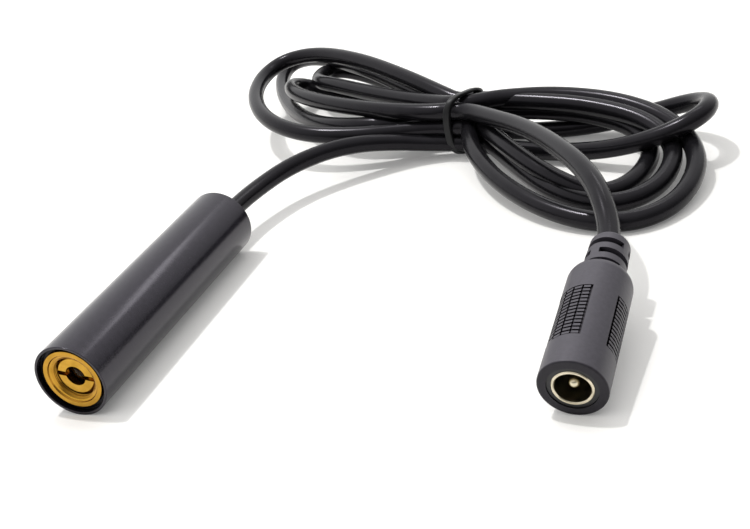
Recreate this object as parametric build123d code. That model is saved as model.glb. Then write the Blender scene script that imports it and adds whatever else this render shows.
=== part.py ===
from build123d import *
import math
import os

os.makedirs("parts", exist_ok=True)

# Laser diode module with its supply cord and a barrel power socket, in millimetres.
# The module lies on its side along Y with its beam leaving towards -Y.
# The origin is on the surface it lies on, under the middle of the housing.

# Clearances and edges
press_gap = 0.02
running_gap = 0.03
cut_overrun = 1.0
edge_break = 0.15
rear_edge_round = 0.5
edge_round_share = 0.29

# Housing tube, with a wider mouth round the brass mount
housing_diameter = 16.0
housing_length = 66.0
housing_bore_share = 0.8125
mouth_bore_share = 0.93
mouth_depth = 1.4

# Brass mount: front rim, lens thread, diode seat and board skirt
mount_setback = 0.65
mount_length_share = 0.379
mount_rim_share = 0.077
mount_step_depth = 0.5
thread_share = 0.693
thread_depth = 11.0
light_bore_share = 0.82
light_bore_depth = 1.6
diode_can_bore = 4.1
skirt_wall_share = 0.115
skirt_depth = 6.0
board_slot_depth = 2.5

# Slotted lens nut, one thread pitch of travel each way
nut_setback = 1.25
nut_length = 5.2
nut_face_share = 0.86
nut_chamfer_depth = 0.4
nut_aperture_share = 0.489
nut_slot_width = 1.0
nut_slot_depth = 1.1
nut_slot_roll = 11.0
nut_web = 1.8
lens_share = 0.703
lens_edge = 1.9
lens_crown = 1.0

# Laser diode in its can
diode_base_diameter = 5.6
diode_base_thickness = 1.2
diode_can_diameter = 3.55
diode_can_height = 2.3
diode_can_wall = 0.15
diode_window_diameter = 1.6
diode_window_thickness = 0.25
diode_chip_width = 0.6
diode_lead_diameter = 0.45
diode_lead_length = 8.6
diode_lead_circle = 2.0

# Driver board and its parts
board_width_share = 0.83
board_length_share = 0.3485
board_thickness = 1.0
chip_length = 5.0
chip_width = 4.0
chip_height = 1.5
chip_leg_pitch = 1.27
chip_leg_width = 0.42
chip_leg_reach = 0.9
chip_leg_thickness = 0.22
chip_legs_a_side = 4
inductor_diameter = 4.6
inductor_height = 3.0
inductor_waist = 3.4
inductor_flange = 0.6
capacitor_length = 3.2
capacitor_width = 1.6
capacitor_height = 1.7
resistor_length = 2.0
resistor_width = 1.25
resistor_height = 0.5
solder_gap = 0.02
chip_station_share = 0.42
inductor_station_share = 0.70
capacitor_station_share = 0.36
resistor_station_share = 0.52
part_pitch = 3.6
resistor_count = 3

# Rear cap and what holds the cord in it
cap_thickness = 4.0
cap_recess = 0.3
cap_bevel = 0.4
clamp_length = 3.0
clamp_wall = 0.9
clamp_ear = 1.4
clamp_ear_width = 2.7
clamp_ear_overlap = 0.25
clamp_split = 0.3

# Cord
cord_diameter = 4.5
cord_gap = 0.05
cord_inside = 4.5
wire_diameter = 1.2
wire_spread = 1.5
wire_bend = 3.6

# Barrel socket: moulded body with grip pads and a slotted strain relief
jack_x = 96.8
jack_y = -27.1
jack_heading = 0.5
jack_tilt = 7.4
jack_roll = 31.0
jack_diameter = 12.2
jack_straight = 26.8
jack_shoulder = 2.4
shoulder_bulge_share = 0.66
jack_length = 39.6
relief_diameter = 8.4
relief_end_diameter = 7.8
relief_end_round = 1.0
jack_front_round = 0.35
relief_slot_width = 1.5
relief_slot_depth = 1.45
relief_slot_pitch = 3.2
relief_slot_first = 30.0
relief_slot_rows = 3
relief_bridge = 26.0
relief_bridge_turn = -22.0
pad_start = 7.0
pad_length = 13.2
pad_sweep = 135.0
pad_depth = 0.45
pad_rib_count = 14
pad_rib_share = 0.58
pad_block_share = 0.85
pad_block_count = 8
pad_groove_width = 0.35
pad_end_gap = 4.0
pocket_length = 10.0
pocket_wall = 2.4
relief_cord_grip = 8.0
relief_mouth_depth = 4.0
relief_mouth_flare = 0.25

# Socket insides
core_diameter = 8.9
core_length = 12.5
core_floor = 2.4
core_setback = 0.25
sleeve_diameter = 7.4
sleeve_bore = 6.3
sleeve_length = 9.6
pin_diameter = 2.0
pin_setback = 0.8
pin_tail = 3.0
pin_tail_diameter = 1.4
leaf_width = 1.6
leaf_thickness = 0.25
leaf_tail = 3.0
leaf_front = 1.6
leaf_offset = 0.15

# Cord tie and hank
tie_x = 46.0
tie_y = 88.0
tie_height = 8.0
tie_width = 1.8
tie_thickness = 1.1
waist_diameter = 13.6
waist_length = 9.0
near_band = 15.0
far_band = 12.0
near_lobe_height = 9.0
far_lobe_low = 3.0
far_lobe_height = 13.0
lobe_corner = 8.0

# Outer outline of each lobe, seen from above, out from the tie and round
near_lobe_outline = [(49.0, 95.0), (76.0, 96.0), (98.0, 94.0), (109.0, 88.0), (113.0, 76.0), (112.0, 52.0),
                     (104.0, 40.0), (92.0, 35.5), (76.0, 40.0), (60.0, 52.0), (50.0, 68.0), (47.5, 82.0)]
far_lobe_outline = [(43.0, 97.0), (22.0, 118.0), (2.0, 135.0), (-10.0, 142.0), (-29.0, 152.0), (-38.0, 145.5),
                    (-34.0, 125.0), (-30.0, 108.0), (-17.0, 88.0), (8.0, 76.0), (28.0, 79.0), (43.0, 86.0)]

# Free stretches of the cord: from the rear cap to the hank, and from the hank to the socket
lead_route = [(0.4, 42.0, 8.3), (3.0, 50.4, 9.1), (7.6, 58.6, 10.2), (15.4, 65.6, 11.0),
              (22.4, 71.4, 10.0), (28.4, 77.0, 7.6), (35.0, 81.2, 5.2), (43.0, 83.6, 3.6)]
socket_lead_route = [(48.6, 83.6, 11.8), (57.4, 75.6, 13.2), (66.4, 66.4, 14.6), (74.0, 56.8, 15.8),
                     (81.0, 46.6, 16.8), (87.6, 36.4, 17.2), (93.2, 26.2, 16.0)]

# Sizes that follow from the ones above
front_y = -housing_length / 2
rear_y = housing_length / 2
axis_height = housing_diameter / 2
housing_bore = housing_diameter * housing_bore_share
mount_radius = housing_bore / 2 - press_gap
mount_end = mount_setback + housing_length * mount_length_share
thread_diameter = housing_bore * thread_share
light_bore = thread_diameter * light_bore_share
nut_face_diameter = thread_diameter * nut_face_share
nut_aperture = thread_diameter * nut_aperture_share
lens_diameter = thread_diameter * lens_share
board_width = housing_bore * board_width_share
board_length = housing_length * board_length_share
thread_end = mount_setback + thread_depth
light_bore_end = thread_end + light_bore_depth
base_front = mount_end - skirt_depth - diode_base_thickness
base_rear = base_front + diode_base_thickness
board_front = mount_end - board_slot_depth + solder_gap
board_rear = board_front + board_length
cap_front = housing_length - cap_recess - cap_thickness
cord_start = cap_front - cord_inside
jack_radius = jack_diameter / 2
jack_height = jack_radius * math.cos(math.radians(jack_tilt))
jack_cord_start = jack_length - relief_cord_grip
pocket_start = core_setback + core_length


def turned(outline):
    """A solid of revolution about local Z from (radius, station) pairs."""
    points = [(radius, 0, station) for radius, station in outline]
    return revolve(make_face(Polyline(points, close=True)), Axis.Z)


def rod(diameter, start, end):
    """A round bar on local Z between two stations."""
    return Location((0, 0, start)) * Cylinder(
        diameter / 2, end - start, align=(Align.CENTER, Align.CENTER, Align.MIN))


def block(width, depth, height, x, y, start):
    """A box centred at x and y that rises from a station."""
    return Location((x, y, start)) * Box(
        width, depth, height, align=(Align.CENTER, Align.CENTER, Align.MIN))


# Local Z runs from the module's front face to its rear, and local Y points down
in_module = Location((0, front_y, axis_height), (-90, 0, 0))
# Local Z runs from the socket's mouth to its cord, and local Y points down
in_jack = (Location((jack_x, jack_y, jack_height))
           * Location((0, 0, 0), (0, 0, -jack_heading))
           * Location((0, 0, 0), (-90 + jack_tilt, 0, 0)))


def corner_radii(points):
    """One radius for each corner: 0.45 of the shorter run over the tangent of half the turn."""
    corner_share = 0.45
    radii = []
    for before, here, after in zip(points, points[1:], points[2:]):
        run_in = Vector(*here) - Vector(*before)
        run_out = Vector(*after) - Vector(*here)
        turn = math.radians(run_in.get_angle(run_out))
        shorter = min(run_in.length, run_out.length)
        radii.append(corner_share * shorter / math.tan(turn / 2))
    return radii


def round_tube(points, diameter):
    """A tube along straight runs joined by tangent arcs, with its length."""
    path = FilletPolyline(points, radius=corner_radii(points))
    section = Plane(path @ 0, z_dir=path % 0) * Circle(diameter / 2)
    return sweep(section, path), path.length


def wire(points):
    """One insulated wire."""
    return round_tube(points, wire_diameter)[0]


def housing_tube():
    mouth_radius = housing_diameter * mouth_bore_share / 2
    middle_of_round = rear_edge_round * edge_round_share
    return turned([
        (mouth_radius, 0),
        (axis_height - edge_break, 0),
        (axis_height, edge_break),
        (axis_height, housing_length - rear_edge_round),
        (axis_height - middle_of_round, housing_length - middle_of_round),
        (axis_height - rear_edge_round, housing_length),
        (housing_bore / 2, housing_length),
        (housing_bore / 2, mouth_depth),
        (mouth_radius, mouth_depth),
    ])


def diode_mount():
    step_radius = mount_radius - housing_bore * mount_rim_share
    thread_radius = thread_diameter / 2
    skirt_radius = mount_radius - housing_bore * skirt_wall_share
    body = turned([
        (thread_radius, mount_setback + mount_step_depth),
        (step_radius, mount_setback + mount_step_depth / 2),
        (step_radius, mount_setback),
        (mount_radius - edge_break, mount_setback),
        (mount_radius, mount_setback + edge_break),
        (mount_radius, mount_end),
        (skirt_radius, mount_end),
        (skirt_radius, base_rear),
        (diode_base_diameter / 2 + press_gap, base_rear),
        (diode_base_diameter / 2 + press_gap, base_front),
        (diode_can_bore / 2, base_front),
        (diode_can_bore / 2, light_bore_end),
        (light_bore / 2, light_bore_end),
        (light_bore / 2, thread_end),
        (thread_radius, thread_end),
    ])
    slot_length = board_slot_depth + cut_overrun
    slot = block(housing_diameter, board_thickness + 2 * running_gap, slot_length,
                 0, 0, mount_end - board_slot_depth)
    return body - slot


def lens_nut():
    nut_radius = thread_diameter / 2 - running_gap
    front = mount_setback + nut_setback
    rear = front + nut_length
    body = turned([
        (nut_aperture / 2, front),
        (nut_face_diameter / 2, front),
        (nut_radius, front + nut_chamfer_depth),
        (nut_radius, rear),
        (lens_diameter / 2 + running_gap, rear),
        (lens_diameter / 2 + running_gap, front + nut_web),
        (nut_aperture / 2, front + nut_web),
    ])
    slot = block(thread_diameter + cut_overrun, nut_slot_width, nut_slot_depth + cut_overrun,
                 0, 0, front - cut_overrun)
    return body - Rotation(0, 0, nut_slot_roll) * slot


def collimating_lens():
    seat = mount_setback + nut_setback + nut_web + press_gap
    crown_radius = nut_aperture / 2 - edge_break
    ball_radius = (crown_radius ** 2 + lens_crown ** 2) / (2 * lens_crown)
    ball = Location((0, 0, seat - lens_crown + ball_radius)) * Sphere(ball_radius)
    crown = ball & rod(2 * crown_radius, seat - 2 * lens_crown, seat + lens_edge / 2)
    return rod(lens_diameter, seat, seat + lens_edge) + crown


def diode_base():
    disc = rod(diode_base_diameter, base_front, base_rear)
    inner = diode_can_diameter / 2 - diode_can_wall - press_gap
    heat_block = block(inner, diode_chip_width, diode_can_height / 2, 0, inner / 2,
                       base_front - diode_can_height / 2)
    return disc + heat_block


def diode_can():
    outer = diode_can_diameter / 2
    front = base_front - diode_can_height
    return turned([
        (diode_window_diameter / 2, front),
        (outer, front),
        (outer, base_front),
        (outer - diode_can_wall, base_front),
        (outer - diode_can_wall, front + diode_can_wall),
        (diode_window_diameter / 2, front + diode_can_wall),
    ])


def diode_window():
    start = base_front - diode_can_height + diode_can_wall
    inner = diode_can_diameter - 2 * (diode_can_wall + press_gap)
    return rod(inner, start, start + diode_window_thickness)


def lead_offset():
    """How far a diode lead lies off the board's middle plane, resting on its face."""
    return board_thickness / 2 + diode_lead_diameter / 2 + solder_gap


def diode_leads():
    places = [(-diode_lead_circle / 2, -lead_offset()), (diode_lead_circle / 2, -lead_offset()),
              (0, lead_offset())]
    lead = rod(diode_lead_diameter, base_rear, base_rear + diode_lead_length)
    return Compound(children=[Location((x, y, 0)) * lead for x, y in places])


def driver_board():
    return block(board_width, board_thickness, board_length, 0, 0, board_front)


def board_station(share):
    return board_front + share * board_length


def on_board(solid, x, share):
    """Turns a solid built upwards from zero onto the board's upper face."""
    return Location((x, -board_thickness / 2 - solder_gap, board_station(share)), (90, 0, 0)) * solid


def driver_chip():
    body = block(chip_length, chip_width, chip_height - solder_gap, 0, 0, solder_gap)
    body = chamfer(body.edges().group_by(Axis.Z)[-1], edge_break)
    legs_across = (chip_width + chip_leg_reach) / 2
    first = -(chip_legs_a_side - 1) / 2 * chip_leg_pitch
    shank_across = (chip_width + chip_leg_thickness) / 2
    for side in (-1, 1):
        for count in range(chip_legs_a_side):
            leg_x = first + count * chip_leg_pitch
            body += block(chip_leg_width, chip_leg_reach, chip_leg_thickness, leg_x, side * legs_across, 0)
            body += block(chip_leg_width, chip_leg_thickness, chip_height / 2, leg_x, side * shank_across, 0)
    return on_board(body, 0, chip_station_share)


def board_inductor():
    radius = inductor_diameter / 2
    waist = inductor_waist / 2
    drum = turned([
        (0, 0), (radius, 0), (radius, inductor_flange), (waist, 2 * inductor_flange),
        (waist, inductor_height - 2 * inductor_flange), (radius, inductor_height - inductor_flange),
        (radius, inductor_height), (0, inductor_height),
    ])
    return on_board(drum, 0, inductor_station_share)


def board_capacitors():
    body = block(capacitor_width, capacitor_length, capacitor_height, 0, 0, 0)
    side_x = board_width / 2 - capacitor_width
    below = Rotation(0, 0, 180) * on_board(body, side_x, capacitor_station_share)
    beside = Rotation(0, 0, 180) * on_board(body, -side_x, capacitor_station_share)
    return Compound(children=[below, beside])


def board_resistors():
    chip = block(resistor_length, resistor_width, resistor_height, 0, 0, 0)
    row = []
    for count in range(resistor_count):
        share = resistor_station_share + count * part_pitch / board_length
        row.append(Rotation(0, 0, 180) * on_board(chip, 0, share))
    return Compound(children=row)


def supply_wire(side):
    """A wire from the board's rear end to the cord's end inside the rear cap."""
    lift = -(board_thickness / 2 + wire_diameter / 2 + solder_gap) * side
    start = board_rear - wire_bend
    middle = (board_rear + cord_start) / 2
    across = side * cord_diameter / 4
    points = [(side * wire_spread, lift, start), (side * wire_spread, lift, board_rear),
              (across, lift / 2, middle + wire_bend / 4), (across, 0, cord_start - solder_gap)]
    return wire(points)


def rear_cap():
    radius = housing_bore / 2 - press_gap
    hole = cord_diameter / 2 + cord_gap
    return turned([
        (hole, cap_front), (radius, cap_front), (radius, cap_front + cap_thickness - cap_bevel),
        (radius - cap_bevel, cap_front + cap_thickness), (hole + cap_bevel, cap_front + cap_thickness),
        (hole, cap_front + cap_thickness - cap_bevel),
    ])


def cord_clamp():
    """A split crimp ring that grips the cord inside the cap."""
    inner = cord_diameter / 2 + press_gap
    end = cap_front - solder_gap
    ring = rod(2 * (inner + clamp_wall), end - clamp_length, end)
    ear_middle = -inner - clamp_wall - clamp_ear / 2 + clamp_ear_overlap
    ring += block(clamp_ear_width, clamp_ear, clamp_length, 0, ear_middle, end - clamp_length)
    ring -= rod(2 * inner, end - clamp_length - cut_overrun, end + cut_overrun)
    split = block(clamp_split, 2 * (clamp_ear + clamp_wall), clamp_length + 2 * cut_overrun,
                  0, ear_middle, end - clamp_length - cut_overrun)
    return ring - split


def jack_profile():
    """The moulded body: flat mouth, straight body, rounded shoulder, tapered strain relief."""
    neck = relief_diameter / 2
    end = relief_end_diameter / 2
    shoulder_top = jack_straight + jack_shoulder
    shoulder_middle = (neck + (jack_radius - neck) * shoulder_bulge_share,
                       jack_straight + jack_shoulder * shoulder_bulge_share)
    outline = [
        Polyline([(jack_radius - jack_front_round, 0), (0, 0), (0, jack_length),
                  (end - relief_end_round, jack_length)]),
        RadiusArc((end - relief_end_round, jack_length), (end, jack_length - relief_end_round),
                  relief_end_round),
        Line((end, jack_length - relief_end_round), (neck, shoulder_top)),
        ThreePointArc((neck, shoulder_top), shoulder_middle, (jack_radius, jack_straight)),
        Line((jack_radius, jack_straight), (jack_radius, jack_front_round)),
        RadiusArc((jack_radius, jack_front_round), (jack_radius - jack_front_round, 0),
                  jack_front_round),
    ]
    return revolve(Plane.XZ * make_face(outline), Axis.Z)


def sector(inner, outer, start, length, middle, sweep_angle):
    """A piece of ring between two radii, centred on an angle from the top."""
    half = math.radians(sweep_angle / 2)
    turn = Rotation(0, 0, middle - 90)
    tip = outer / math.cos(half / 2)
    corners = [(0, 0), (outer * math.cos(-half), outer * math.sin(-half)),
               (tip * math.cos(-half / 2), tip * math.sin(-half / 2)),
               (tip * math.cos(half / 2), tip * math.sin(half / 2)),
               (outer * math.cos(half), outer * math.sin(half))]
    wedge = extrude(make_face(Polyline(corners, close=True)), length)
    ring = Cylinder(outer, length, align=(Align.CENTER, Align.CENTER, Align.MIN))
    hole = Cylinder(inner, length, align=(Align.CENTER, Align.CENTER, Align.MIN))
    return Location((0, 0, start)) * turn * ((ring - hole) & wedge)


def around(radius, turns):
    """Points on a circle at angles from local X, in degrees."""
    return [(radius * math.cos(math.radians(turn)), radius * math.sin(math.radians(turn))) for turn in turns]


def grip_pad(middle, columns_cut):
    """The pocket of a grip pad with a flat floor under each column, less its ribs or small blocks."""
    floor = jack_radius - pad_depth
    column = pad_sweep / pad_block_count
    to_edge = 1 / math.cos(math.radians(column / 2))
    turns = [middle - 90 - pad_sweep / 2 + count * column for count in range(pad_block_count + 1)]
    rim = around((jack_radius + cut_overrun) * to_edge, reversed(turns))
    pocket = extrude(make_face(Polyline(around(floor * to_edge, turns) + rim, close=True)), pad_length)
    pocket = Location((0, 0, pad_start)) * pocket
    pitch = pad_length / pad_rib_count
    height = floor + pad_depth * pad_block_share
    ends = [turns[0] + pad_end_gap] + turns[1:-1] + [turns[-1] - pad_end_gap]
    crest = around(height * to_edge, ends)
    rib = extrude(make_face(Polyline([(0, 0)] + crest, close=True)), pitch * pad_rib_share)
    if columns_cut:
        for turn in turns[1:-1]:
            rib -= Rotation(0, 0, turn) * block(
                jack_diameter, pad_groove_width, pitch, jack_radius, 0, 0)
    ribs = []
    for row in range(pad_rib_count):
        ribs.append(Location((0, 0, pad_start + (row + (1 - pad_rib_share) / 2) * pitch)) * rib)
    return pocket - ribs


def relief_slots():
    """Three rows of slots, two in each row, with the bridges turned from row to row."""
    neck = relief_diameter / 2
    slots = []
    for row in range(relief_slot_rows):
        turn = relief_bridge_turn + (90 if row % 2 == 0 else 0)
        start = relief_slot_first + row * relief_slot_pitch - relief_slot_width / 2
        for side in (90, -90):
            slots.append(sector(neck - relief_slot_depth, neck + cut_overrun, start,
                                relief_slot_width, turn + side, 180 - relief_bridge))
    return slots


def jack_shell():
    body = jack_profile()
    body -= rod(core_diameter + 2 * press_gap, -cut_overrun, pocket_start)
    pocket_bore = jack_diameter - 2 * pocket_wall
    body -= rod(pocket_bore, pocket_start - cut_overrun, pocket_start + pocket_length)
    cord_hole = cord_diameter / 2
    body -= turned([
        (0, pocket_start), (cord_hole, pocket_start), (cord_hole, jack_length - relief_mouth_depth),
        (cord_hole + relief_mouth_flare, jack_length), (0, jack_length),
    ])
    blocks = grip_pad(jack_roll - 90, True)
    ridges = grip_pad(jack_roll + 90, False)
    return body - [blocks, ridges] - relief_slots()


def jack_core():
    front = core_setback
    rear = front + core_length
    bore = sleeve_diameter / 2 + press_gap
    body = turned([
        (bore, front), (core_diameter / 2, front), (core_diameter / 2, rear),
        (pin_diameter / 2 + press_gap, rear), (pin_diameter / 2 + press_gap, rear - core_floor),
        (bore, rear - core_floor),
    ])
    slit = block(leaf_width + 2 * press_gap, leaf_thickness + 2 * press_gap, core_floor + 2 * cut_overrun,
                 0, -leaf_place(), rear - core_floor - cut_overrun)
    return body - slit


def leaf_place():
    """The leaf's distance from the socket's axis, just inside the sleeve."""
    return sleeve_bore / 2 - leaf_offset - leaf_thickness / 2 - leaf_width ** 2 / sleeve_bore / 4


def jack_sleeve():
    outer = sleeve_diameter / 2
    bore = sleeve_bore / 2
    return turned([
        (bore + edge_break, 0), (outer - edge_break, 0), (outer, edge_break), (outer, sleeve_length),
        (bore, sleeve_length), (bore, edge_break),
    ])


def jack_pin():
    radius = pin_diameter / 2
    rear = core_setback + core_length
    dome = Location((0, 0, pin_setback + radius)) * Sphere(radius)
    return (dome + rod(pin_diameter, pin_setback + radius, rear)
            + rod(pin_tail_diameter, rear, rear + pin_tail))


def jack_leaf_contact():
    length = core_setback + core_length + leaf_tail - leaf_front
    strip = block(leaf_width, leaf_thickness, length, 0, -leaf_place(), leaf_front)
    return strip


def socket_wire(side):
    """A wire from a solder tail to the cord's end: under the pin's tail, or under the leaf's."""
    beside = wire_diameter / 2 + solder_gap
    start_y = pin_tail_diameter / 2 + beside if side > 0 else leaf_thickness / 2 + beside - leaf_place()
    rear = core_setback + core_length + solder_gap
    across = side * cord_diameter / 4
    middle = (rear + wire_bend + jack_cord_start) / 2
    points = [(0, start_y, rear), (0, start_y, rear + wire_bend), (across, start_y / 4, middle),
              (across, 0, jack_cord_start - solder_gap)]
    return wire(points)


def lead_points():
    """From inside the rear cap, straight out and on to the hank."""
    return [(0, front_y + cord_start, axis_height), (0, rear_y + edge_break, axis_height)] + lead_route


def jack_point(station):
    """A place on the socket's own axis, in the part's frame."""
    spot = (in_jack * Location((0, 0, station))).position
    return (spot.X, spot.Y, spot.Z)


def socket_lead_points():
    """From the hank over its near lobe and into the strain relief."""
    return socket_lead_route + [jack_point(jack_length + cord_diameter / 2), jack_point(jack_cord_start)]


def lobe(outline, band, low, high):
    """A flat ring lobe of the hank: its outer outline, less the open middle."""
    outer = make_face(Polyline(outline, close=True))
    outer = fillet(outer.vertices(), lobe_corner)
    inner = offset(outer, -band)
    ring = extrude(Location((0, 0, low)) * outer, high - low)
    for face in inner.faces():
        ring -= extrude(Location((0, 0, low - cut_overrun)) * face, high - low + 2 * cut_overrun)
    return ring


def cord_hank():
    near = lobe(near_lobe_outline, near_band, 0, near_lobe_height)
    far = lobe(far_lobe_outline, far_band, far_lobe_low, far_lobe_low + far_lobe_height)
    waist = Location((tie_x, tie_y, tie_height), (0, 90, 0)) * Cylinder(waist_diameter / 2, waist_length)
    return near + far + waist


def cord_tie():
    inner = waist_diameter / 2 + press_gap
    ring = Cylinder(inner + tie_thickness, tie_width) - Cylinder(inner, tie_width)
    return Location((tie_x, tie_y, tie_height), (0, 90, 0)) * ring


def cord_tube(name, points):
    tube, length = round_tube(points, cord_diameter)
    section = math.pi * cord_diameter ** 2 / 4
    radii = ", ".join(f"{radius:.1f}" for radius in corner_radii(points))
    print(f"{name}: length {length:.1f}, volume over section x length {tube.volume / section / length:.4f}")
    print(f"{name}: radii {radii}")
    return tube


module_parts = {
    "housing_tube": housing_tube,
    "diode_mount": diode_mount,
    "lens_nut": lens_nut,
    "collimating_lens": collimating_lens,
    "diode_base": diode_base,
    "diode_can": diode_can,
    "diode_window": diode_window,
    "diode_leads": diode_leads,
    "driver_board": driver_board,
    "driver_chip": driver_chip,
    "board_inductor": board_inductor,
    "board_capacitors": board_capacitors,
    "board_resistors": board_resistors,
    "red_wire": lambda: supply_wire(1),
    "black_wire": lambda: supply_wire(-1),
    "rear_cap": rear_cap,
    "cord_clamp": cord_clamp,
}
jack_parts = {
    "jack_shell": jack_shell,
    "jack_core": jack_core,
    "jack_sleeve": jack_sleeve,
    "jack_pin": jack_pin,
    "jack_leaf_contact": jack_leaf_contact,
    "jack_red_wire": lambda: socket_wire(1),
    "jack_black_wire": lambda: socket_wire(-1),
}
loose_parts = {
    "lead_cord": lambda: cord_tube("lead_cord", lead_points()),
    "cord_hank": cord_hank,
    "jack_cord": lambda: cord_tube("jack_cord", socket_lead_points()),
    "cord_tie": cord_tie,
}

for node, make in module_parts.items():
    export_step(in_module * make(), f"parts/{node}.step")
for node, make in jack_parts.items():
    export_step(in_jack * make(), f"parts/{node}.step")
for node, make in loose_parts.items():
    export_step(make(), f"parts/{node}.step")
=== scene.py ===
import math

import bpy
import numpy as np
from mathutils import Matrix, Vector


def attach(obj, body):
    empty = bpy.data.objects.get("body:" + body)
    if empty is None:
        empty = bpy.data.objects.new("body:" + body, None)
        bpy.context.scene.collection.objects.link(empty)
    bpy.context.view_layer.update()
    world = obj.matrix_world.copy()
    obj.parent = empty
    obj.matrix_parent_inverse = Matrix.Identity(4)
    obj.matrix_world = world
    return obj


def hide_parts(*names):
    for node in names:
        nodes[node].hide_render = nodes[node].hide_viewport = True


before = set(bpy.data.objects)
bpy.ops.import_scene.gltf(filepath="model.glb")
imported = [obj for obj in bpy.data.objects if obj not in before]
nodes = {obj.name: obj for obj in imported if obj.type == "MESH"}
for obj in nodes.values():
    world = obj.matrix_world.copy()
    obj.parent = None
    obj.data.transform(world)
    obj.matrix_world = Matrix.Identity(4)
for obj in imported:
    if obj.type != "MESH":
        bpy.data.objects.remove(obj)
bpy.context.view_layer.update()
millimetre = 0.001                           # the shapes below are in millimetres, the studio is in metres
axisHeight = 8.0                             # the module's axis runs along Y, this high above the floor


# Camera: at the photograph's place, looking a little down along the module

cameraLook = {
    "place": (139.35, -175.78, 114.78),
    "towards": (-0.390529, 0.799784, -0.455887),
    "up": (0.009222, 0.498585, 0.866792),
    "lens": 53.93,
    "sensor": 36.0,
    "nearest": 10.0,
}


def addCamera(look):
    data = bpy.data.cameras.new("photoCamera")
    data.lens = look["lens"]
    data.sensor_width = look["sensor"]
    data.clip_start = look["nearest"] * millimetre
    towards = Vector(look["towards"]).normalized()
    right = towards.cross(Vector(look["up"])).normalized()
    upward = right.cross(towards)
    turn = Matrix((right, upward, -towards)).transposed().to_4x4()
    camera = bpy.data.objects.new("photoCamera", data)
    camera.matrix_world = Matrix.Translation(Vector(look["place"]) * millimetre) @ turn
    bpy.context.scene.collection.objects.link(camera)
    bpy.context.scene.camera = camera


addCamera(cameraLook)
print("camera placed")


# Cord: out of the rear cap, eight loops held by the tie, then on to the socket

cordLook = {
    "diameter": 4.5,
    "length": 1500.0,
    "exit": (0.0, 33.0, 8.0),
    "spansPerLoop": 13,
    "strandPitch": 4.7,                      # between neighbouring strands in the tie
    "tieCentre": (46.0, 88.0, 8.0),
    "tieHalfWidth": 3.0,
    "stepsPerSpan": 8,
    "roundness": 6,
}

leadRoute = [(0.0, 24.2, 8.0), (0.0, 33.15, 8.0), (0.4, 42.0, 8.3), (2.4, 51.4, 8.6), (6.3, 60.9, 9.2),
             (13.6, 69.1, 9.5), (20.9, 74.4, 8.7), (27.8, 78.4, 7.0), (34.9, 81.4, 5.1)]
socketRoute = [(48.6, 83.5, 12.3), (57.4, 75.6, 13.2), (66.4, 66.4, 14.6), (74.0, 56.8, 15.8),
               (81.0, 46.6, 16.8), (87.6, 36.4, 17.2), (93.2, 26.2, 16.0), (97.2, 14.3, 11.5),
               (97.1, 4.2, 10.2)]

# Where each strand crosses the tie: steps of one pitch along Y and Z from its centre
tieSlots = {"A": (-1, 1), "B": (0, 1), "C": (1.14, 0.73), "D": (-1, 0), "E": (0, 0), "F": (1, 0),
            "G": (-1, -1), "H": (0, -1), "I": (1, -1)}

# One entry for each loop, in the order the cord runs: the slots it leaves and enters, the side of the tie,
# which half comes first, reach, lean in degrees, how far each half bows out, how the bow is shaped,
# and the heights of the first half, the far end and the second half
cordLoops = [
    {"slots": "GI", "side": 1, "first": -1, "reach": 61.8, "lean": -11.4,
     "bows": (11.5, 18.0), "shape": 2.8, "heights": (3.4, 12.2, 2.5)},
    {"slots": "IB", "side": -1, "first": 1, "reach": 62.2, "lean": 30.6,
     "bows": (33.1, 0.5), "shape": 0.1, "heights": (4.9, 9.3, 11.7)},
    {"slots": "BD", "side": 1, "first": 1, "reach": 68.5, "lean": -38.9,
     "bows": (31.2, 16.9), "shape": 0.5, "heights": (9.9, 2.1, 4.2)},
    {"slots": "DC", "side": -1, "first": -1, "reach": 73.1, "lean": 18.0,
     "bows": (34.6, 32.9), "shape": 1.98, "heights": (8.9, 13.2, 17.7)},
    {"slots": "CH", "side": 1, "first": 1, "reach": 62.7, "lean": -38.8,
     "bows": (28.2, 15.4), "shape": 1.7, "heights": (10.9, 2.1, 2.6)},
    {"slots": "HF", "side": -1, "first": -1, "reach": 82.8, "lean": 29.5,
     "bows": (51.3, 44.3), "shape": 1.9, "heights": (8.8, 4.2, 11.8)},
    {"slots": "FE", "side": 1, "first": 1, "reach": 55.4, "lean": -41.0,
     "bows": (27.4, 9.8), "shape": 1.06, "heights": (6.4, 2.1, 7.5)},
    {"slots": "EA", "side": -1, "first": 1, "reach": 68.5, "lean": 27.0,
     "bows": (25.2, 14.6), "shape": 0.69, "heights": (2.1, 10.2, 13.0)},
]


# The place along Y and the height at which one strand crosses the tie
def slotPlace(name):
    alongY, alongZ = tieSlots[name]
    centre = cordLook["tieCentre"]
    return centre[1] + alongY * cordLook["strandPitch"], centre[2] + alongZ * cordLook["strandPitch"]


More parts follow.
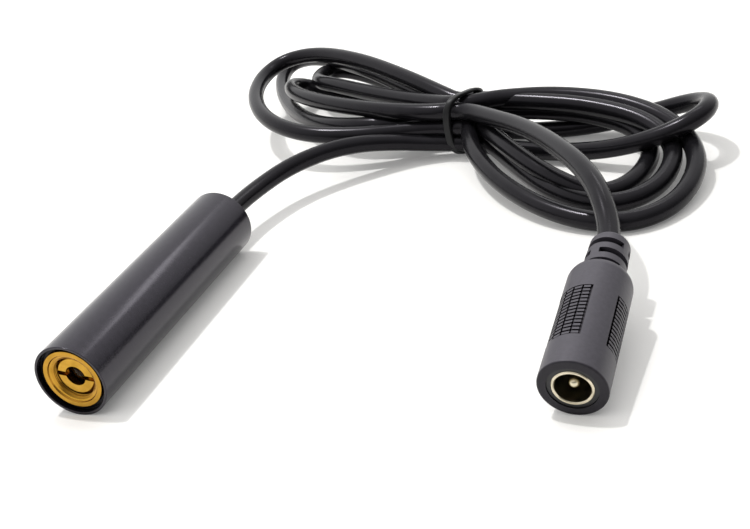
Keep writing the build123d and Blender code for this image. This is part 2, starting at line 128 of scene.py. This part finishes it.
# One loop. The reach grows and falls as half of one minus cosine along a leaning line; each half bows across
# that line as a sine narrowed by a power of the half sine; the height goes from half to far end to half.
def loopPoints(loop):
    startY, startZ = slotPlace(loop["slots"][0])
    endY, endZ = slotPlace(loop["slots"][1])
    turn = np.linspace(0, 2 * np.pi, cordLook["spansPerLoop"] + 1)
    firstHalf = turn < np.pi
    out = (1 - np.cos(turn)) / 2
    drift = turn / (2 * np.pi) - np.sin(turn) / (2 * np.pi)
    lean = math.radians(loop["lean"])
    bows = np.where(firstHalf, loop["bows"][0], loop["bows"][1])
    across = loop["first"] * bows * np.sin(turn) * np.sin(turn / 2) ** loop["shape"]
    side, reach = loop["side"], loop["reach"]
    away = cordLook["tieHalfWidth"] + reach * out * math.cos(lean)
    x = cordLook["tieCentre"][0] + side * away - across * math.sin(lean)
    y = startY + (endY - startY) * drift + reach * out * math.sin(lean) + across * math.cos(lean)
    firstZ, farZ, secondZ = loop["heights"]
    farRise = farZ - (startZ + endZ) / 2
    level = startZ + (endZ - startZ) * drift + farRise * out ** 2
    quarterRise = farRise * 0.25             # a quarter of the way round, where out is a half
    firstRise = firstZ - (startZ + quarterRise)
    secondRise = secondZ - (endZ + quarterRise)
    z = level + np.where(firstHalf, firstRise, secondRise) * np.sin(turn) ** 2
    return np.column_stack([x, y, np.maximum(z, cordLook["diameter"] / 2)])


def cordRoute():
    strands = [np.array(leadRoute)]
    strands.extend(loopPoints(loop) for loop in cordLoops)
    strands.append(np.array(socketRoute))
    return np.vstack(strands) * millimetre


def addCord(route):
    data = bpy.data.curves.new("cord", "CURVE")
    data.dimensions = "3D"
    spline = data.splines.new("NURBS")
    spline.points.add(len(route) - 1)
    spline.points.foreach_set("co", np.column_stack([route, np.ones(len(route))]).ravel())
    spline.order_u = 3
    spline.use_endpoint_u = True
    spline.resolution_u = cordLook["stepsPerSpan"]
    spline.points.foreach_set("radius", np.full(len(route), cordLook["diameter"] / 2 * millimetre))
    data.bevel_depth = 1.0                   # times each point's radius, which also sizes the curve's box
    data.bevel_resolution = cordLook["roundness"]
    data.use_fill_caps = True
    cord = bpy.data.objects.new("cord", data)
    bpy.context.scene.collection.objects.link(cord)
    return cord


cord = addCord(cordRoute())
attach(cord, "housing")
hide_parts("lead_cord", "cord_hank", "jack_cord")
print("cord laid")


# Shapes worked out on a grid

# A surface of quads over points[across, along] that closes both ways, like a ring, with its faces outwards
def gridMesh(name, points):
    across, along = points.shape[:2]
    numbers = np.arange(across * along).reshape(across, along)
    nextAcross = np.roll(numbers, -1, axis=0)
    nextAlong = np.roll(numbers, -1, axis=1)
    nextBoth = np.roll(nextAcross, -1, axis=1)
    quads = np.stack([numbers, nextAcross, nextBoth, nextAlong], axis=-1).reshape(-1, 4)
    flat = points.reshape(-1, 3)
    corners = flat[quads]
    normals = np.cross(corners[:, 2] - corners[:, 0], corners[:, 3] - corners[:, 1])
    volume = np.einsum("ij,ij->", corners.mean(axis=1), normals)
    if volume < 0:
        quads = quads[:, ::-1]
    mesh = bpy.data.meshes.new(name)
    mesh.from_pydata((flat * millimetre).tolist(), [], quads.tolist())
    mesh.polygons.foreach_set("use_smooth", np.ones(len(quads), dtype=bool))
    mesh.update()
    piece = bpy.data.objects.new(name, mesh)
    bpy.context.scene.collection.objects.link(piece)
    return piece


# Corners of a closed outline, each replaced by a quadratic curve between the points one radius away on its
# two sides, with one more point a little way along each side to keep the flats flat
def softenedOutline(corners, radius, steps=5):
    mostOfSide, pastBend = 0.4, 1.25
    corners = np.array(corners, dtype=float)
    before = np.roll(corners, 1, axis=0) - corners
    after = np.roll(corners, -1, axis=0) - corners
    beforeLength = np.linalg.norm(before, axis=1, keepdims=True)
    afterLength = np.linalg.norm(after, axis=1, keepdims=True)
    room = np.minimum(np.minimum(beforeLength, afterLength) * mostOfSide, radius)[:, None]
    before = (before / beforeLength)[:, None]
    after = (after / afterLength)[:, None]
    share = np.linspace(0, 1, steps)[None, :, None]
    bend = corners[:, None] + before * room * (1 - share) ** 2 + after * room * share ** 2
    entry = corners[:, None] + before * room * pastBend
    leave = corners[:, None] + after * room * pastBend
    return np.concatenate([entry, bend, leave], axis=1).reshape(-1, 2)


stepsRound = 160
roundAngle = np.linspace(0, 2 * np.pi, stepsRound, endpoint=False)[:, None]


# Radius times cosine and sine round the module's axis, at a place along it
def roundAxis(radius, along):
    height = axisHeight + radius * np.sin(roundAngle)
    return np.stack([radius * np.cos(roundAngle), along + 0 * roundAngle, height], axis=-1)


# Housing: a plain tube with a shallow wider mouth and a chamfered rear edge

tubeLook = {"radius": 8.0, "bore": 6.5, "mouth": 7.44, "mouthDepth": 1.4, "front": -33.0, "rear": 33.0,
            "edge": 0.12, "rearEdge": 0.55}


def addTube(look):
    outer, inner = look["radius"], look["bore"]
    chamfer = look["rearEdge"] / 2
    shelf = look["front"] + look["mouthDepth"]
    corners = [(look["mouth"], look["front"]), (outer, look["front"]), (outer, look["rear"] - chamfer),
               (outer - chamfer, look["rear"]), (inner, look["rear"]), (inner, shelf), (look["mouth"], shelf)]
    outline = softenedOutline(corners, look["edge"])
    return gridMesh("tubeBody", roundAxis(outline[None, :, 0], outline[None, :, 1]))


tubeBody = addTube(tubeLook)
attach(tubeBody, "housing")
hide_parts("housing_tube")
print("tube turned")


# Brass mount: flat rim, ledge and a fine inner thread cut outwards from the bore

mountLook = {
    "radius": 6.48, "front": -32.35, "rear": -7.34, "edge": 0.08,
    "rim": 0.95, "rimWall": 0.2,             # the rim's width, and how far its inner wall leans in
    "step": 0.7,                             # how far behind the rim the thread starts
    "ledgeInner": 0.6, "ledgeOuter": 0.5,    # how deep the ledge between them lies, as shares of the step
    "threadRadius": 4.5, "threadEnd": -21.35, "pitch": 0.5, "threadDepth": 0.3, "threadFade": 0.3,
    "lightBore": 3.7, "canBore": 2.05, "canEnd": -19.75,
    "baseBore": 2.82, "baseSeat": -14.55, "boardBore": 4.98, "boardStop": -13.35,
    # how far the whole front is darkened, and how strongly painted shade darkens the steep step walls and the
    # thread's crests and roots
    "faceDulled": 0.22, "stepShade": 0.85, "crestShade": 0.15, "rootShade": 0.90,
}


# A closed outline of radius and place along the axis, carried round. The thread's groove is a triangle wave
# of depth against distance along the helix, and fades in behind the rim. Its darkening attribute is painted
# shade, greatest in the groove's root and on the slopes between the thread and the rim; it also darkens the
# whole front a little.
def addMount(look):
    front, threadRadius = look["front"], look["threadRadius"]
    rimRadius = look["radius"] - look["rim"]
    threadStart = front + look["step"]
    ledgeRadius = threadRadius + look["rim"] / 2
    ledgeInner = front + look["step"] * look["ledgeInner"]
    ledgeOuter = front + look["step"] * look["ledgeOuter"]
    wall = [(threadRadius, threadStart), (ledgeRadius, ledgeInner),
            (rimRadius - look["rimWall"], ledgeOuter), (rimRadius, front),
            (look["radius"], front), (look["radius"], look["rear"]),
            (look["boardBore"], look["rear"]), (look["boardBore"], look["boardStop"]),
            (look["baseBore"], look["boardStop"]), (look["baseBore"], look["baseSeat"]),
            (look["canBore"], look["baseSeat"]), (look["canBore"], look["canEnd"]),
            (look["lightBore"], look["canEnd"]), (look["lightBore"], look["threadEnd"])]
    plain = softenedOutline(wall, look["edge"], steps=4)
    stepsPerPitch, closingGap = 10, 0.02
    count = int((look["threadEnd"] - threadStart) / look["pitch"] * stepsPerPitch)
    threadAlong = np.linspace(look["threadEnd"], threadStart + closingGap, count)
    outline = np.vstack([plain, np.column_stack([np.full(count, threadRadius), threadAlong])])
    radius = outline[None, :, 0] + 0 * roundAngle
    along = outline[None, :, 1] + 0 * roundAngle
    phase = (along / look["pitch"] + roundAngle / (2 * np.pi)) % 1
    groove = 1 - np.abs(2 * phase - 1)
    fade = np.clip((along - threadStart) / look["threadFade"], 0, 1)
    onThread = np.arange(len(outline))[None, :] >= len(plain)
    radius = radius + np.where(onThread, look["threadDepth"] * groove * fade, 0)
    mount = gridMesh("threadedMount", roundAxis(radius, along))
    nearly = 0.02
    # Painted shade, darkest in the thread's roots and on the steep walls behind the rim; the whole front is
    # darkened a little too
    threadShade = (look["crestShade"] + (look["rootShade"] - look["crestShade"]) * groove) * fade
    onStep = (radius < rimRadius - nearly) & (radius > threadRadius) & (along < threadStart)
    slope = np.abs(np.gradient(along, axis=1)) / (np.abs(np.gradient(radius, axis=1)) + nearly)
    face = np.where(along < threadStart, look["faceDulled"], 0)
    plainShadeAndFront = np.where(onStep, np.maximum(face, look["stepShade"] * np.clip(slope, 0, 1)), face)
    shadeAndDarkerFront = np.where(onThread, threadShade, plainShadeAndFront)
    mount.data.attributes.new("shadeAndDarkerFront", "FLOAT", "POINT").data.foreach_set("value", shadeAndDarkerFront.ravel())
    return mount


threadedMount = addMount(mountLook)
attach(threadedMount, "housing")
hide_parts("diode_mount")
print("mount threaded")


# Tie: one flat band round the strands, a rounded square that leans with the bundle

tieLook = {
    "centre": (46.0, 88.1, 8.05),
    "half": 7.45,
    "corner": 0.55,                          # power of the outline: 1 is round, 0 is square
    "width": 1.8,
    "thickness": 1.1,
    "bar": 0.45,                             # the same power for the band's own section
    "lean": 19.0,
    "droop": 1.1,                            # how far the back of its top hangs
    "curl": 1.0,                             # how far its top and bottom stand along X from its middle
    "offFloor": 0.05,
}


# A superellipse round X: cosine and sine to a power, their signs kept. The section is the same, made flat,
# and carried along it.
def addTie(look):
    stepsAlong, stepsAcross = 96, 16
    angle = np.linspace(0, 2 * np.pi, stepsAlong, endpoint=False)[:, None]
    section = np.linspace(0, 2 * np.pi, stepsAcross, endpoint=False)[None, :]

    def squared(wave, power):
        return np.sign(wave) * np.abs(wave) ** power

    acrossX = squared(np.cos(section), look["bar"]) * look["width"] / 2
    reach = look["half"] + squared(np.sin(section), look["bar"]) * look["thickness"] / 2
    y = reach * squared(np.cos(angle), look["corner"])
    z = reach * squared(np.sin(angle), look["corner"])
    share = z / look["half"]
    x = acrossX + math.tan(math.radians(look["lean"])) * y + look["curl"] * share ** 2
    z = z - look["droop"] * np.clip(share, 0, 1) * y / look["half"]
    centre = look["centre"]
    height = np.maximum(centre[2] + z, look["offFloor"])
    return gridMesh("tieBand", np.stack([centre[0] + x, centre[1] + y, height], axis=-1))


tieBand = addTie(tieLook)
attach(tieBand, "housing")
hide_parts("cord_tie")
print("tie placed")


# Materials

# Values by the names of their sockets, with a low line for each space
def setSockets(node, values):
    for socket, value in values.items():
        node.inputs[socket.replace("_", " ")].default_value = value


# A named material with its surface shader set from plain values
def newMaterial(name, **values):
    material = bpy.data.materials.new(name)
    material.use_nodes = True
    shader = material.node_tree.nodes["Principled BSDF"]
    setSockets(shader, values)
    return material, shader


# A node in a material or the world
def addNode(owner, kind, **values):
    node = owner.node_tree.nodes.new(kind)
    setSockets(node, values)
    return node


def link(owner, start, socketOut, end, socketIn):
    owner.node_tree.links.new(start.outputs[socketOut], end.inputs[socketIn])


# A node that multiplies or the like, its second value given where it is fixed
def addMaths(owner, kind, operation, second=None):
    maths = addNode(owner, kind)
    maths.operation = operation
    if second is not None:
        maths.inputs[1].default_value = second
    return maths


# The mix node's colour sockets share their names with others, so they are known by number
mixShare, mixFirst, mixSecond, mixResult = 0, 6, 7, 2


# A mix of two colours; "MULTIPLY" takes the first times the second
def addMix(owner, blend="MIX"):
    mixed = addNode(owner, "ShaderNodeMix")
    mixed.data_type = "RGBA"
    mixed.blend_type = blend
    return mixed


# The same, put between the shader's colour and what feeds it
def mixIntoColour(material, shader, blend="MIX"):
    mixed = addMix(material, blend)
    fed = shader.inputs["Base Color"].links[0].from_socket
    material.node_tree.links.new(fed, mixed.inputs[mixFirst])
    link(material, mixed, mixResult, shader, "Base Color")
    return mixed


# Fine noise on Object coordinates as a bump
def grainOn(material, shader, scale, strength, distance, detail=4.0):
    place = addNode(material, "ShaderNodeTexCoord")
    noise = addNode(material, "ShaderNodeTexNoise", Scale=scale, Detail=detail)
    bump = addNode(material, "ShaderNodeBump", Strength=strength, Distance=distance)
    link(material, place, "Object", noise, "Vector")
    link(material, noise, "Fac", bump, "Height")
    link(material, bump, "Normal", shader, "Normal")
    return noise


rampEnds = (0.3, 0.7)                        # where in the noise the two colours are reached


# A value or colour that wanders between two ends with the noise
def spread(material, shader, noise, socket, low, high):
    if isinstance(low, tuple):
        ramp = addNode(material, "ShaderNodeValToRGB")
        for end, place, colour in zip(ramp.color_ramp.elements, rampEnds, (low, high)):
            end.position = place
            end.color = (*colour, 1)
        link(material, noise, "Fac", ramp, "Fac")
        link(material, ramp, "Color", shader, socket)
    else:
        ramp = addNode(material, "ShaderNodeMapRange", To_Min=low, To_Max=high)
        link(material, noise, "Fac", ramp, "Value")
        link(material, ramp, "Result", shader, socket)


# One entry for each finish: two colours, two roughnesses, metal, noise scale, bump strength and its depth in
# metres. Some also say their shine, its tint, how far in metres painted shade reaches into their recesses,
# the colour that painted shade in a thread and a darker front turn to, or which end face gets painted shade.
finishes = {
    "black_anodised": {"colours": ((0.012, 0.011, 0.015), (0.019, 0.017, 0.023)), "rough": (0.16, 0.24),
                       "metal": 0.0, "scale": 900, "bump": 0.10, "depth": 0.00005,
                       "tint": (0.93, 0.88, 1.0), "recess": 0.003},
    "brass": {"colours": ((0.43, 0.235, 0.026), (0.58, 0.325, 0.045)), "rough": (0.18, 0.30),
              "metal": 1.0, "scale": 500, "bump": 0.10, "depth": 0.00004,
              "recess": 0.0005, "darkenedTo": (0.34, 0.15, 0.02)},
    "diode_metal": {"colours": ((0.62, 0.48, 0.24), (0.74, 0.60, 0.34)), "rough": (0.22, 0.32),
                    "metal": 1.0, "scale": 900, "bump": 0.05, "depth": 0.00003},
    "gold_leads": {"colours": ((0.78, 0.60, 0.28), (0.86, 0.68, 0.36)), "rough": (0.2, 0.3),
                   "metal": 1.0, "scale": 900, "bump": 0.05, "depth": 0.00002},
    "board_green": {"colours": ((0.010, 0.085, 0.030), (0.016, 0.125, 0.045)), "rough": (0.25, 0.40),
                    "metal": 0.0, "scale": 300, "bump": 0.10, "depth": 0.00004},
    "chip_black": {"colours": ((0.020, 0.020, 0.021), (0.034, 0.034, 0.036)), "rough": (0.5, 0.65),
                   "metal": 0.0, "scale": 2500, "bump": 0.2, "depth": 0.00003},
    "ferrite_grey": {"colours": ((0.035, 0.035, 0.037), (0.060, 0.060, 0.062)), "rough": (0.55, 0.75),
                     "metal": 0.0, "scale": 1800, "bump": 0.3, "depth": 0.00004},
    "capacitor_tan": {"colours": ((0.36, 0.22, 0.12), (0.46, 0.29, 0.17)), "rough": (0.4, 0.55),
                      "metal": 0.0, "scale": 1200, "bump": 0.1, "depth": 0.00003},
    "resistor_white": {"colours": ((0.60, 0.60, 0.58), (0.72, 0.72, 0.70)), "rough": (0.45, 0.6),
                       "metal": 0.0, "scale": 1500, "bump": 0.1, "depth": 0.00003},
    "red_insulation": {"colours": ((0.50, 0.012, 0.010), (0.60, 0.020, 0.015)), "rough": (0.32, 0.42),
                       "metal": 0.0, "scale": 700, "bump": 0.08, "depth": 0.00004},
    "black_insulation": {"colours": ((0.012, 0.012, 0.013), (0.020, 0.020, 0.021)), "rough": (0.32, 0.42),
                         "metal": 0.0, "scale": 700, "bump": 0.08, "depth": 0.00004},
    "clamp_steel": {"colours": ((0.50, 0.50, 0.51), (0.60, 0.60, 0.61)), "rough": (0.28, 0.42),
                    "metal": 1.0, "scale": 600, "bump": 0.1, "depth": 0.00004},
    "cord_black": {"colours": ((0.006, 0.0057, 0.0068), (0.009, 0.0086, 0.010)), "rough": (0.19, 0.26),
                   "metal": 0.0, "scale": 260, "bump": 0.10, "depth": 0.00006,
                   "shine": 0.19, "tint": (0.95, 0.90, 1.0)},
    "tie_black": {"colours": ((0.008, 0.008, 0.009), (0.013, 0.013, 0.014)), "rough": (0.35, 0.5),
                  "metal": 0.0, "scale": 800, "bump": 0.15, "depth": 0.00005, "shine": 0.3},
    "jack_grey": {"colours": ((0.036, 0.033, 0.041), (0.048, 0.044, 0.054)), "rough": (0.40, 0.50),
                  "metal": 0.0, "scale": 1400, "bump": 0.35, "depth": 0.00005,
                  "shine": 0.55, "tint": (0.95, 0.92, 1.0), "recess": 0.0014,
                  # painted shade on the socket's flat front face, which gets less light
                  "face": {"axis": (0.0095, 0.9914, 0.1305),
                           "start": -0.02506, "end": -0.02476, "left": 0.5}},
    "core_black": {"colours": ((0.010, 0.010, 0.011), (0.016, 0.016, 0.018)), "rough": (0.4, 0.5),
                   "metal": 0.0, "scale": 900, "bump": 0.1, "depth": 0.00004},
    "nickel": {"colours": ((0.60, 0.54, 0.40), (0.72, 0.65, 0.50)), "rough": (0.18, 0.30),
               "metal": 1.0, "scale": 700, "bump": 0.06, "depth": 0.00003},
}
plainShine = 0.5
recessShade = {"samples": 8, "darkest": 0.25, "clear": 0.85}


# Painted shade: turns the colour darker where the piece's own attribute says so, as in the roots of a thread
def darkenByAttribute(material, shader, colour):
    amount = addNode(material, "ShaderNodeAttribute")
    amount.attribute_name = "shadeAndDarkerFront"
    mixed = mixIntoColour(material, shader)
    mixed.inputs[mixSecond].default_value = (*colour, 1)
    link(material, amount, "Fac", mixed, mixShare)


# Painted shade on a flat end face: from "left" at the flat end of a piece to 1 beyond its edge, by distance
# along the piece's axis in metres
def paintedFaceShade(material, face):
    place = addNode(material, "ShaderNodeTexCoord")
    along = addMaths(material, "ShaderNodeVectorMath", "DOT_PRODUCT", face["axis"])
    share = addNode(material, "ShaderNodeMapRange", From_Min=face["start"], From_Max=face["end"],
                    To_Min=face["left"])
    link(material, place, "Object", along, 0)
    link(material, along, "Value", share, "Value")
    return share


# Painted shade: takes colour and shine away where the surface is shut in, as in slots, grooves and recesses
def shadeRecesses(material, shader, look):
    shut = addNode(material, "ShaderNodeAmbientOcclusion", Distance=look["recess"])
    shut.samples = recessShade["samples"]
    clear = addNode(material, "ShaderNodeMapRange",
                    From_Min=recessShade["darkest"], From_Max=recessShade["clear"])
    link(material, shut, "AO", clear, "Value")
    # painted shade on a flat end face, lowering colour and shine there
    if "face" in look:
        link(material, paintedFaceShade(material, look["face"]), "Result", clear, "To Max")
    shaded = mixIntoColour(material, shader, "MULTIPLY")
    shaded.inputs[mixShare].default_value = 1.0
    link(material, clear, "Result", shaded, mixSecond)
    level = addMaths(material, "ShaderNodeMath", "MULTIPLY", look.get("shine", plainShine))
    link(material, clear, "Result", level, 0)
    link(material, level, 0, shader, "Specular IOR Level")


def tintShine(shader, look):
    if "tint" in look:
        shader.inputs["Specular Tint"].default_value = (*look["tint"], 1)


def finishMaterial(name, look):
    shine = look.get("shine", plainShine)
    material, shader = newMaterial(name, Metallic=look["metal"], Specular_IOR_Level=shine)
    noise = grainOn(material, shader, look["scale"], look["bump"], look["depth"])
    spread(material, shader, noise, "Base Color", *look["colours"])
    spread(material, shader, noise, "Roughness", *look["rough"])
    # painted shade in a thread's roots and on its walls, and a darker front
    if "darkenedTo" in look:
        darkenByAttribute(material, shader, look["darkenedTo"])
    tintShine(shader, look)
    if "recess" in look:
        shadeRecesses(material, shader, look)
    return material


glasses = {
    "lens_glass": {"colour": (0.24, 0.14, 0.08), "index": 1.45, "tint": (0.30, 0.17, 0.09)},
    "window_glass": {"colour": (0.93, 0.95, 0.95), "index": 1.5},
}
glassLook = {"rough": 0.02, "shine": 0.15, "scale": 120.0, "bump": 0.02, "depth": 0.00002,
             "palest": 1.03}                 # its other colour, as a share of the first


# Glass with a faint coat, whose tint is in what it throws back
def glassMaterial(name, look):
    material, shader = newMaterial(name, Roughness=glassLook["rough"], IOR=look["index"],
                                   Transmission_Weight=1.0, Specular_IOR_Level=glassLook["shine"])
    noise = grainOn(material, shader, glassLook["scale"], glassLook["bump"], glassLook["depth"])
    palest = tuple(min(1.0, value * glassLook["palest"]) for value in look["colour"])
    spread(material, shader, noise, "Base Color", look["colour"], palest)
    tintShine(shader, look)
    return material


materials = {name: finishMaterial(name, look) for name, look in finishes.items()}
materials.update({name: glassMaterial(name, look) for name, look in glasses.items()})


def wear(piece, material):
    piece.data.materials.clear()
    piece.data.materials.append(material)


nodeFinish = {
    "lens_nut": "brass", "collimating_lens": "lens_glass",
    "diode_base": "diode_metal", "diode_can": "diode_metal", "diode_window": "window_glass",
    "diode_leads": "gold_leads", "driver_board": "board_green", "driver_chip": "chip_black",
    "board_inductor": "ferrite_grey", "board_capacitors": "capacitor_tan",
    "board_resistors": "resistor_white",
    "red_wire": "red_insulation", "black_wire": "black_insulation",
    "rear_cap": "black_anodised", "cord_clamp": "clamp_steel",
    "jack_shell": "jack_grey", "jack_core": "core_black", "jack_sleeve": "nickel", "jack_pin": "nickel",
    "jack_leaf_contact": "nickel", "jack_red_wire": "red_insulation", "jack_black_wire": "black_insulation",
}
for nodeName, finish in nodeFinish.items():
    for place in nodes[nodeName].material_slots:
        place.material = materials[finish]
for piece, finish in ((tubeBody, "black_anodised"), (threadedMount, "brass"), (tieBand, "tie_black"),
                      (cord, "cord_black")):
    wear(piece, materials[finish])
print("materials made")


# Floor, lights and sky, in metres

studioLook = {
    "floorSize": 6.0,
    "floorColour": (0.82, 0.81, 0.785),
    "floorBounce": (0.40, 0.40, 0.40),       # what it throws back onto the object
    "floorGlow": 0.14,
    "floorRough": 0.9,
    "floorShine": 0.1,
    "skyTowards": (-0.6, 0.5, 1.0),          # the brightest side of the sky: left, behind and overhead
    "skyRange": (-0.2, 0.7),                 # how far along that side it starts and ends growing brighter
    "skyLevel": 1.15,
    "skyLeast": 0.3,                         # the least of it that metal and gloss show
    "sunTowards": (-0.35, 0.12, 1.0),
    "sunAngle": 2.5,
    "sunPower": 1.35,
    "lamps": [
        {"name": "softBox", "place": (-0.17, 0.17, 0.60), "aim": (0.04, 0.05, 0.0),
         "size": (0.12, 0.07), "power": 0.65},
        {"name": "streakLamp", "place": (0.085, 0.235, 0.24), "aim": (0.004, -0.02, 0.016),
         "size": (0.11, 0.032), "power": 0.045},
    ],
}


# Diffuse rays see the floor's bounce colour and no glow; the camera, metal and glass see it pale
def addFloor(look):
    half = look["floorSize"] / 2
    mesh = bpy.data.meshes.new("floor")
    corners = [(-half, -half, 0), (half, -half, 0), (half, half, 0), (-half, half, 0)]
    mesh.from_pydata(corners, [], [(0, 1, 2, 3)])
    floor = bpy.data.objects.new("floor", mesh)
    bpy.context.scene.collection.objects.link(floor)
    material, shader = newMaterial("paperWhite", Roughness=look["floorRough"],
                                   Specular_IOR_Level=look["floorShine"], Emission_Color=(1, 1, 1, 1))
    path = addNode(material, "ShaderNodeLightPath")
    paper = addMix(material)
    paper.inputs[mixFirst].default_value = (*look["floorColour"], 1)
    paper.inputs[mixSecond].default_value = (*look["floorBounce"], 1)
    link(material, path, "Is Diffuse Ray", paper, mixShare)
    link(material, paper, mixResult, shader, "Base Color")
    glow = addNode(material, "ShaderNodeMapRange", To_Min=look["floorGlow"], To_Max=0.0)
    link(material, path, "Is Diffuse Ray", glow, "Value")
    link(material, glow, "Result", shader, "Emission Strength")
    wear(floor, material)


def addLamp(look):
    data = bpy.data.lights.new(look["name"], "AREA")
    data.shape = "RECTANGLE"
    data.size, data.size_y = look["size"]
    data.energy = look["power"]
    lamp = bpy.data.objects.new(look["name"], data)
    lamp.location = look["place"]
    towards = Vector(look["aim"]) - Vector(look["place"])
    lamp.rotation_euler = towards.to_track_quat("-Z", "Y").to_euler()
    bpy.context.scene.collection.objects.link(lamp)


def addSun(look):
    data = bpy.data.lights.new("keyLight", "SUN")
    data.energy = look["sunPower"]
    data.angle = math.radians(look["sunAngle"])
    lamp = bpy.data.objects.new("keyLight", data)
    lamp.rotation_euler = Vector(look["sunTowards"]).to_track_quat("Z", "Y").to_euler()
    bpy.context.scene.collection.objects.link(lamp)


# Camera and transmission rays see the sky at 1. Other rays see it grow with the direction's share of the
# bright side, and never under the least level in metal and gloss.
def addSky(look):
    world = bpy.data.worlds.new("studioSky")
    world.use_nodes = True
    sky = world.node_tree.nodes["Background"]
    sky.inputs["Color"].default_value = (1, 1, 1, 1)
    path = addNode(world, "ShaderNodeLightPath")
    seen = addMaths(world, "ShaderNodeMath", "MAXIMUM")
    link(world, path, "Is Camera Ray", seen, 0)
    link(world, path, "Is Transmission Ray", seen, 1)
    direction = addNode(world, "ShaderNodeTexCoord")
    side = addMaths(world, "ShaderNodeVectorMath", "DOT_PRODUCT", look["skyTowards"])
    link(world, direction, "Generated", side, 0)
    least = addMaths(world, "ShaderNodeMath", "MULTIPLY", look["skyLeast"])
    link(world, path, "Is Glossy Ray", least, 0)
    starts, ends = look["skyRange"]
    dome = addNode(world, "ShaderNodeMapRange", From_Min=starts, From_Max=ends, To_Max=look["skyLevel"])
    link(world, side, "Value", dome, "Value")
    link(world, least, 0, dome, "To Min")
    level = addNode(world, "ShaderNodeMix", B=1.0)
    level.data_type = "FLOAT"
    link(world, seen, 0, level, "Factor")
    link(world, dome, "Result", level, "A")
    link(world, level, "Result", sky, "Strength")
    bpy.context.scene.world = world


addFloor(studioLook)
for lampLook in studioLook["lamps"]:
    addLamp(lampLook)
addSun(studioLook)
addSky(studioLook)
bpy.context.scene.view_settings.view_transform = "Standard"
print("studio lit")

bpy.context.view_layer.update()
